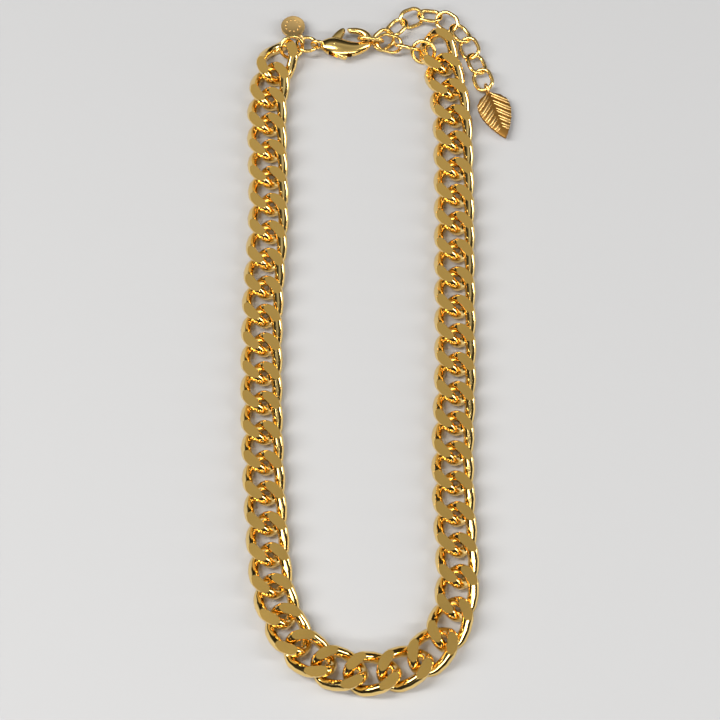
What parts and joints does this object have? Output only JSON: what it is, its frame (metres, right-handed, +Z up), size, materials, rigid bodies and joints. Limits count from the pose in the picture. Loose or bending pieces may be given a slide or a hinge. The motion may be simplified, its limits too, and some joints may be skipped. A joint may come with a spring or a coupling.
{
  "type": "chain necklace",
  "caption": "Closed necklace of chunky twisted curb links with a lobster clasp, a fine extender chain hooked through it, a flat disc tag and a ribbed leaf charm.",
  "frame": {"origin": "centre of the box round the closed necklace, on the surface it lies on", "axes": "+Y towards the clasp, +Z up from the surface, +X to the side the leaf charm lies on"},
  "size_m": [0.0732, 0.1988, 0.0062],
  "materials": {
    "chain_gold": "polished yellow gold plate, ground faces slightly brushed",
    "fittings_gold": "polished yellow gold plate",
    "satin_gold": "satin yellow gold plate",
    "spring_steel": "bright spring wire"
  },
  "bodies": {
    "curb_link_01": {"curb_link_01": "chain_gold"},
    "curb_link_02": {"curb_link_02": "chain_gold"},
    "curb_link_03": {"curb_link_03": "chain_gold"},
    "curb_link_04": {"curb_link_04": "chain_gold"},
    "curb_link_05": {"curb_link_05": "chain_gold"},
    "curb_link_06": {"curb_link_06": "chain_gold"},
    "curb_link_07": {"curb_link_07": "chain_gold"},
    "curb_link_08": {"curb_link_08": "chain_gold"},
    "curb_link_09": {"curb_link_09": "chain_gold"},
    "curb_link_10": {"curb_link_10": "chain_gold"},
    "curb_link_11": {"curb_link_11": "chain_gold"},
    "curb_link_12": {"curb_link_12": "chain_gold"},
    "curb_link_13": {"curb_link_13": "chain_gold"},
    "curb_link_14": {"curb_link_14": "chain_gold"},
    "curb_link_15": {"curb_link_15": "chain_gold"},
    "curb_link_16": {"curb_link_16": "chain_gold"},
    "curb_link_17": {"curb_link_17": "chain_gold"},
    "curb_link_18": {"curb_link_18": "chain_gold"},
    "curb_link_19": {"curb_link_19": "chain_gold"},
    "curb_link_20": {"curb_link_20": "chain_gold"},
    "curb_link_21": {"curb_link_21": "chain_gold"},
    "curb_link_22": {"curb_link_22": "chain_gold"},
    "curb_link_23": {"curb_link_23": "chain_gold"},
    "curb_link_24": {"curb_link_24": "chain_gold"},
    "curb_link_25": {"curb_link_25": "chain_gold"},
    "curb_link_26": {"curb_link_26": "chain_gold"},
    "curb_link_27": {"curb_link_27": "chain_gold"},
    "curb_link_28": {"curb_link_28": "chain_gold"},
    "curb_link_29": {"curb_link_29": "chain_gold"},
    "curb_link_30": {"curb_link_30": "chain_gold"},
    "curb_link_31": {"curb_link_31": "chain_gold"},
    "curb_link_32": {"curb_link_32": "chain_gold"},
    "curb_link_33": {"curb_link_33": "chain_gold"},
    "curb_link_34": {"curb_link_34": "chain_gold"},
    "curb_link_35": {"curb_link_35": "chain_gold"},
    "curb_link_36": {"curb_link_36": "chain_gold"},
    "curb_link_37": {"curb_link_37": "chain_gold"},
    "curb_link_38": {"curb_link_38": "chain_gold"},
    "curb_link_39": {"curb_link_39": "chain_gold"},
    "curb_link_40": {"curb_link_40": "chain_gold"},
    "curb_link_41": {"curb_link_41": "chain_gold"},
    "curb_link_42": {"curb_link_42": "chain_gold"},
    "curb_link_43": {"curb_link_43": "chain_gold"},
    "curb_link_44": {"curb_link_44": "chain_gold"},
    "curb_link_45": {"curb_link_45": "chain_gold"},
    "curb_link_46": {"curb_link_46": "chain_gold"},
    "curb_link_47": {"curb_link_47": "chain_gold"},
    "clasp": {"clasp_body": "fittings_gold", "clasp_pin": "fittings_gold", "clasp_spring": "spring_steel"},
    "clasp_lever": {"clasp_lever": "fittings_gold"},
    "jump_ring": {"jump_ring": "fittings_gold"},
    "connector_link": {"connector_link": "fittings_gold"},
    "maker_tag": {"maker_tag": "satin_gold"},
    "extender_link_a": {"extender_link_a": "fittings_gold"},
    "extender_link_b": {"extender_link_b": "fittings_gold"},
    "extender_link_c": {"extender_link_c": "fittings_gold"},
    "extender_link_d": {"extender_link_d": "fittings_gold"},
    "extender_tail": {"extender_tail": "fittings_gold"},
    "leaf_charm": {"leaf_charm": "satin_gold"}
  },
  "joints": [
    {"name": "fold_01_left", "type": "hinge", "parent": "curb_link_24", "child": "curb_link_23", "pos_m": [-0.00639, -0.09404, 0.00235], "axis": [0.9996, 0.0294, 0], "range_deg": [-8, 8]},
    {"name": "fold_01_right", "type": "hinge", "parent": "curb_link_24", "child": "curb_link_25", "pos_m": [0.00186, -0.0938, 0.00235], "axis": [0.9996, 0.0294, 0], "range_deg": [-8, 8]},
    {"name": "fold_02_left", "type": "hinge", "parent": "curb_link_23", "child": "curb_link_22", "pos_m": [-0.01436, -0.09176, 0.00235], "axis": [-0.9992, -0.04, 0], "range_deg": [-8, 8]},
    {"name": "fold_02_right", "type": "hinge", "parent": "curb_link_25", "child": "curb_link_26", "pos_m": [0.00954, -0.09081, 0.00235], "axis": [-0.9992, -0.04, 0], "range_deg": [-8, 8]},
    {"name": "fold_03_left", "type": "hinge", "parent": "curb_link_22", "child": "curb_link_21", "pos_m": [-0.02092, -0.08682, 0.00235], "axis": [0.9988, 0.0491, 0], "range_deg": [-6, 6]},
    {"name": "fold_03_right", "type": "hinge", "parent": "curb_link_26", "child": "curb_link_27", "pos_m": [0.01544, -0.08504, 0.00235], "axis": [0.9988, 0.0491, 0], "range_deg": [-6, 6]},
    {"name": "fold_04_left", "type": "hinge", "parent": "curb_link_21", "child": "curb_link_20", "pos_m": [-0.02497, -0.0796, 0.00235], "axis": [-0.9986, -0.0528, 0], "range_deg": [-14, 14]},
    {"name": "fold_04_right", "type": "hinge", "parent": "curb_link_27", "child": "curb_link_28", "pos_m": [0.01829, -0.07731, 0.00235], "axis": [-0.9986, -0.0528, 0], "range_deg": [-14, 14]},
    {"name": "fold_05_left", "type": "hinge", "parent": "curb_link_20", "child": "curb_link_19", "pos_m": [-0.02735, -0.07168, 0.00235], "axis": [0.9984, 0.056, 0], "range_deg": [-18, 18]},
    {"name": "fold_05_right", "type": "hinge", "parent": "curb_link_28", "child": "curb_link_29", "pos_m": [0.01918, -0.06907, 0.00235], "axis": [0.9984, 0.056, 0], "range_deg": [-18, 18]},
    {"name": "fold_06_left", "type": "hinge", "parent": "curb_link_19", "child": "curb_link_18", "pos_m": [-0.02829, -0.06343, 0.00235], "axis": [-0.9984, -0.0562, 0], "range_deg": [-18, 18]},
    {"name": "fold_06_right", "type": "hinge", "parent": "curb_link_29", "child": "curb_link_30", "pos_m": [0.01885, -0.06077, 0.00235], "axis": [-0.9984, -0.0562, 0], "range_deg": [-18, 18]},
    {"name": "fold_07_left", "type": "hinge", "parent": "curb_link_18", "child": "curb_link_17", "pos_m": [-0.02896, -0.05515, 0.00235], "axis": [0.9984, 0.0562, 0], "range_deg": [-18, 18]},
    {"name": "fold_07_right", "type": "hinge", "parent": "curb_link_30", "child": "curb_link_31", "pos_m": [0.01853, -0.05248, 0.00235], "axis": [0.9984, 0.0562, 0], "range_deg": [-18, 18]},
    {"name": "fold_08_left", "type": "hinge", "parent": "curb_link_17", "child": "curb_link_16", "pos_m": [-0.02965, -0.04688, 0.00235], "axis": [-0.9984, -0.0562, 0], "range_deg": [-18, 18]},
    {"name": "fold_08_right", "type": "hinge", "parent": "curb_link_31", "child": "curb_link_32", "pos_m": [0.01833, -0.04419, 0.00235], "axis": [-0.9984, -0.0562, 0], "range_deg": [-18, 18]},
    {"name": "fold_09_left", "type": "hinge", "parent": "curb_link_16", "child": "curb_link_15", "pos_m": [-0.03016, -0.03859, 0.00235], "axis": [0.9984, 0.0557, 0], "range_deg": [-18, 18]},
    {"name": "fold_09_right", "type": "hinge", "parent": "curb_link_32", "child": "curb_link_33", "pos_m": [0.01835, -0.03589, 0.00235], "axis": [0.9984, 0.0557, 0], "range_deg": [-18, 18]},
    {"name": "fold_10_left", "type": "hinge", "parent": "curb_link_15", "child": "curb_link_14", "pos_m": [-0.03057, -0.03031, 0.00235], "axis": [-0.9985, -0.0549, 0], "range_deg": [-18, 18]},
    {"name": "fold_10_right", "type": "hinge", "parent": "curb_link_33", "child": "curb_link_34", "pos_m": [0.01873, -0.0276, 0.00235], "axis": [-0.9985, -0.0549, 0], "range_deg": [-18, 18]},
    {"name": "fold_11_left", "type": "hinge", "parent": "curb_link_14", "child": "curb_link_13", "pos_m": [-0.03087, -0.02201, 0.00235], "axis": [0.9985, 0.0539, 0], "range_deg": [-18, 18]},
    {"name": "fold_11_right", "type": "hinge", "parent": "curb_link_34", "child": "curb_link_35", "pos_m": [0.01919, -0.01931, 0.00235], "axis": [0.9985, 0.0539, 0], "range_deg": [-18, 18]},
    {"name": "fold_12_left", "type": "hinge", "parent": "curb_link_13", "child": "curb_link_12", "pos_m": [-0.03105, -0.01371, 0.00235], "axis": [-0.9986, -0.0533, 0], "range_deg": [-18, 18]},
    {"name": "fold_12_right", "type": "hinge", "parent": "curb_link_35", "child": "curb_link_36", "pos_m": [0.01949, -0.01102, 0.00235], "axis": [-0.9986, -0.0533, 0], "range_deg": [-18, 18]},
    {"name": "fold_13_left", "type": "hinge", "parent": "curb_link_12", "child": "curb_link_11", "pos_m": [-0.03114, -0.00541, 0.00235], "axis": [0.9986, 0.0531, 0], "range_deg": [-18, 18]},
    {"name": "fold_13_right", "type": "hinge", "parent": "curb_link_36", "child": "curb_link_37", "pos_m": [0.01963, -0.00272, 0.00235], "axis": [0.9986, 0.0531, 0], "range_deg": [-18, 18]},
    {"name": "fold_14_left", "type": "hinge", "parent": "curb_link_11", "child": "curb_link_10", "pos_m": [-0.03112, 0.00288, 0.00235], "axis": [-0.9986, -0.0531, 0], "range_deg": [-18, 18]},
    {"name": "fold_14_right", "type": "hinge", "parent": "curb_link_37", "child": "curb_link_38", "pos_m": [0.01971, 0.00559, 0.00235], "axis": [-0.9986, -0.0531, 0], "range_deg": [-18, 18]},
    {"name": "fold_15_left", "type": "hinge", "parent": "curb_link_10", "child": "curb_link_09", "pos_m": [-0.03097, 0.01117, 0.00235], "axis": [0.9986, 0.0534, 0], "range_deg": [-18, 18]},
    {"name": "fold_15_right", "type": "hinge", "parent": "curb_link_38", "child": "curb_link_39", "pos_m": [0.01979, 0.01389, 0.00235], "axis": [0.9986, 0.0534, 0], "range_deg": [-18, 18]},
    {"name": "fold_16_left", "type": "hinge", "parent": "curb_link_09", "child": "curb_link_08", "pos_m": [-0.03055, 0.01947, 0.00235], "axis": [-0.9986, -0.0537, 0], "range_deg": [-18, 18]},
    {"name": "fold_16_right", "type": "hinge", "parent": "curb_link_39", "child": "curb_link_40", "pos_m": [0.01989, 0.02218, 0.00235], "axis": [-0.9986, -0.0537, 0], "range_deg": [-18, 18]},
    {"name": "fold_17_left", "type": "hinge", "parent": "curb_link_08", "child": "curb_link_07", "pos_m": [-0.03011, 0.02776, 0.00235], "axis": [0.9985, 0.0543, 0], "range_deg": [-18, 18]},
    {"name": "fold_17_right", "type": "hinge", "parent": "curb_link_40", "child": "curb_link_41", "pos_m": [0.02001, 0.03049, 0.00235], "axis": [0.9985, 0.0543, 0], "range_deg": [-18, 18]},
    {"name": "fold_18_left", "type": "hinge", "parent": "curb_link_07", "child": "curb_link_06", "pos_m": [-0.03002, 0.03606, 0.00235], "axis": [-0.9985, -0.0545, 0], "range_deg": [-18, 18]},
    {"name": "fold_18_right", "type": "hinge", "parent": "curb_link_41", "child": "curb_link_42", "pos_m": [0.0201, 0.03879, 0.00235], "axis": [-0.9985, -0.0545, 0], "range_deg": [-18, 18]},
    {"name": "fold_19_left", "type": "hinge", "parent": "curb_link_06", "child": "curb_link_05", "pos_m": [-0.0303, 0.04436, 0.00235], "axis": [0.9985, 0.0542, 0], "range_deg": [-18, 18]},
    {"name": "fold_19_right", "type": "hinge", "parent": "curb_link_42", "child": "curb_link_43", "pos_m": [0.02011, 0.04709, 0.00235], "axis": [0.9985, 0.0542, 0], "range_deg": [-18, 18]},
    {"name": "fold_20_left", "type": "hinge", "parent": "curb_link_05", "child": "curb_link_04", "pos_m": [-0.03062, 0.05267, 0.00235], "axis": [-0.9986, -0.0533, 0], "range_deg": [-18, 18]},
    {"name": "fold_20_right", "type": "hinge", "parent": "curb_link_43", "child": "curb_link_44", "pos_m": [0.02017, 0.05538, 0.00235], "axis": [-0.9986, -0.0533, 0], "range_deg": [-18, 18]},
    {"name": "fold_21_left", "type": "hinge", "parent": "curb_link_04", "child": "curb_link_03", "pos_m": [-0.03096, 0.06094, 0.00235], "axis": [0.9986, 0.0536, 0], "range_deg": [-18, 18]},
    {"name": "fold_21_right", "type": "hinge", "parent": "curb_link_44", "child": "curb_link_45", "pos_m": [0.01999, 0.06368, 0.00235], "axis": [0.9986, 0.0536, 0], "range_deg": [-18, 18]},
    {"name": "fold_22_left", "type": "hinge", "parent": "curb_link_03", "child": "curb_link_02", "pos_m": [-0.03092, 0.06924, 0.00235], "axis": [-0.9986, -0.0536, 0], "range_deg": [-18, 18]},
    {"name": "fold_22_right", "type": "hinge", "parent": "curb_link_45", "child": "curb_link_46", "pos_m": [0.01902, 0.07192, 0.00235], "axis": [-0.9986, -0.0536, 0], "range_deg": [-18, 18]},
    {"name": "fold_23_left", "type": "hinge", "parent": "curb_link_02", "child": "curb_link_01", "pos_m": [-0.02982, 0.07744, 0.00235], "axis": [0.9985, 0.0552, 0], "range_deg": [-7, 7]},
    {"name": "fold_23_right", "type": "hinge", "parent": "curb_link_46", "child": "curb_link_47", "pos_m": [0.01736, 0.08005, 0.00235], "axis": [0.9985, 0.0552, 0], "range_deg": [-7, 7]},
    {"name": "fold_24_left", "type": "hinge", "parent": "curb_link_01", "child": "connector_link", "pos_m": [-0.02635, 0.08456, 0.00308], "axis": [-0.9992, 0.0392, 0.0092], "range_deg": [-7, 7]},
    {"name": "fold_24_right", "type": "hinge", "parent": "curb_link_47", "child": "extender_link_d", "pos_m": [0.01451, 0.08296, 0.0027], "axis": [-0.9992, 0.0392, 0.0092], "range_deg": [-7, 7]},
    {"name": "fold_25_left", "type": "hinge", "parent": "connector_link", "child": "jump_ring", "pos_m": [-0.02223, 0.0861, 0.00305], "axis": [0.9993, -0.0371, 0], "range_deg": [-14, 14]},
    {"name": "fold_25_right", "type": "hinge", "parent": "extender_link_d", "child": "extender_link_c", "pos_m": [0.01033, 0.08489, 0.00305], "axis": [0.9993, -0.0371, 0], "range_deg": [-14, 14]},
    {"name": "fold_26_left", "type": "hinge", "parent": "jump_ring", "child": "clasp", "pos_m": [-0.01838, 0.08716, 0.00235], "axis": [-0.9997, 0.0255, 0], "range_deg": [-7, 7]},
    {"name": "fold_26_right", "type": "hinge", "parent": "extender_link_c", "child": "extender_link_b", "pos_m": [0.00551, 0.08656, 0.00235], "axis": [-0.9997, 0.0255, 0], "range_deg": [-7, 7]},
    {"name": "extender_a_turn", "type": "hinge", "parent": "extender_link_b", "child": "extender_link_a", "pos_m": [0.00054, 0.08769, 0.00235], "axis": [-0.993, 0.1178, 0], "range_deg": [-5, 5]},
    {"name": "maker_tag_swing", "type": "hinge", "parent": "jump_ring", "child": "maker_tag", "pos_m": [-0.02175, 0.08889, 0.00216], "axis": [0.7723, 0.6352, 0], "range_deg": [-18, 18]},
    {"name": "clasp_lever_turn", "type": "hinge", "parent": "clasp", "child": "clasp_lever", "pos_m": [-0.01226, 0.08606, 0.0027], "axis": [0, 0, -1], "range_deg": [0, 24], "stiffness_Nm_per_rad": 0.0002, "springref_deg": -11.46},
    {"name": "extender_tail_lift", "type": "hinge", "parent": "extender_link_a", "child": "extender_tail", "pos_m": [-0.00071, 0.08704, 0.002], "axis": [0.1983, -0.7399, 0.6428], "range_deg": [0, 13]},
    {"name": "leaf_charm_lift", "type": "hinge", "parent": "extender_tail", "child": "leaf_charm", "pos_m": [0.02982, 0.0727, 0.00175], "axis": [-0.9574, -0.2888, 0], "range_deg": [0, 45]}
  ],
  "couplings": [
    {"joint": "fold_01_right", "follows": "fold_01_left", "ratio": 1},
    {"joint": "fold_02_right", "follows": "fold_02_left", "ratio": 1},
    {"joint": "fold_03_right", "follows": "fold_03_left", "ratio": 1},
    {"joint": "fold_04_right", "follows": "fold_04_left", "ratio": 1},
    {"joint": "fold_05_right", "follows": "fold_05_left", "ratio": 1},
    {"joint": "fold_06_right", "follows": "fold_06_left", "ratio": 1},
    {"joint": "fold_07_right", "follows": "fold_07_left", "ratio": 1},
    {"joint": "fold_08_right", "follows": "fold_08_left", "ratio": 1},
    {"joint": "fold_09_right", "follows": "fold_09_left", "ratio": 1},
    {"joint": "fold_10_right", "follows": "fold_10_left", "ratio": 1},
    {"joint": "fold_11_right", "follows": "fold_11_left", "ratio": 1},
    {"joint": "fold_12_right", "follows": "fold_12_left", "ratio": 1},
    {"joint": "fold_13_right", "follows": "fold_13_left", "ratio": 1},
    {"joint": "fold_14_right", "follows": "fold_14_left", "ratio": 1},
    {"joint": "fold_15_right", "follows": "fold_15_left", "ratio": 1},
    {"joint": "fold_16_right", "follows": "fold_16_left", "ratio": 1},
    {"joint": "fold_17_right", "follows": "fold_17_left", "ratio": 1},
    {"joint": "fold_18_right", "follows": "fold_18_left", "ratio": 1},
    {"joint": "fold_19_right", "follows": "fold_19_left", "ratio": 1},
    {"joint": "fold_20_right", "follows": "fold_20_left", "ratio": 1},
    {"joint": "fold_21_right", "follows": "fold_21_left", "ratio": 1},
    {"joint": "fold_22_right", "follows": "fold_22_left", "ratio": 1},
    {"joint": "fold_23_right", "follows": "fold_23_left", "ratio": 1},
    {"joint": "fold_24_right", "follows": "fold_24_left", "ratio": 1},
    {"joint": "fold_25_right", "follows": "fold_25_left", "ratio": 1},
    {"joint": "fold_26_right", "follows": "fold_26_left", "ratio": 1}
  ]
}
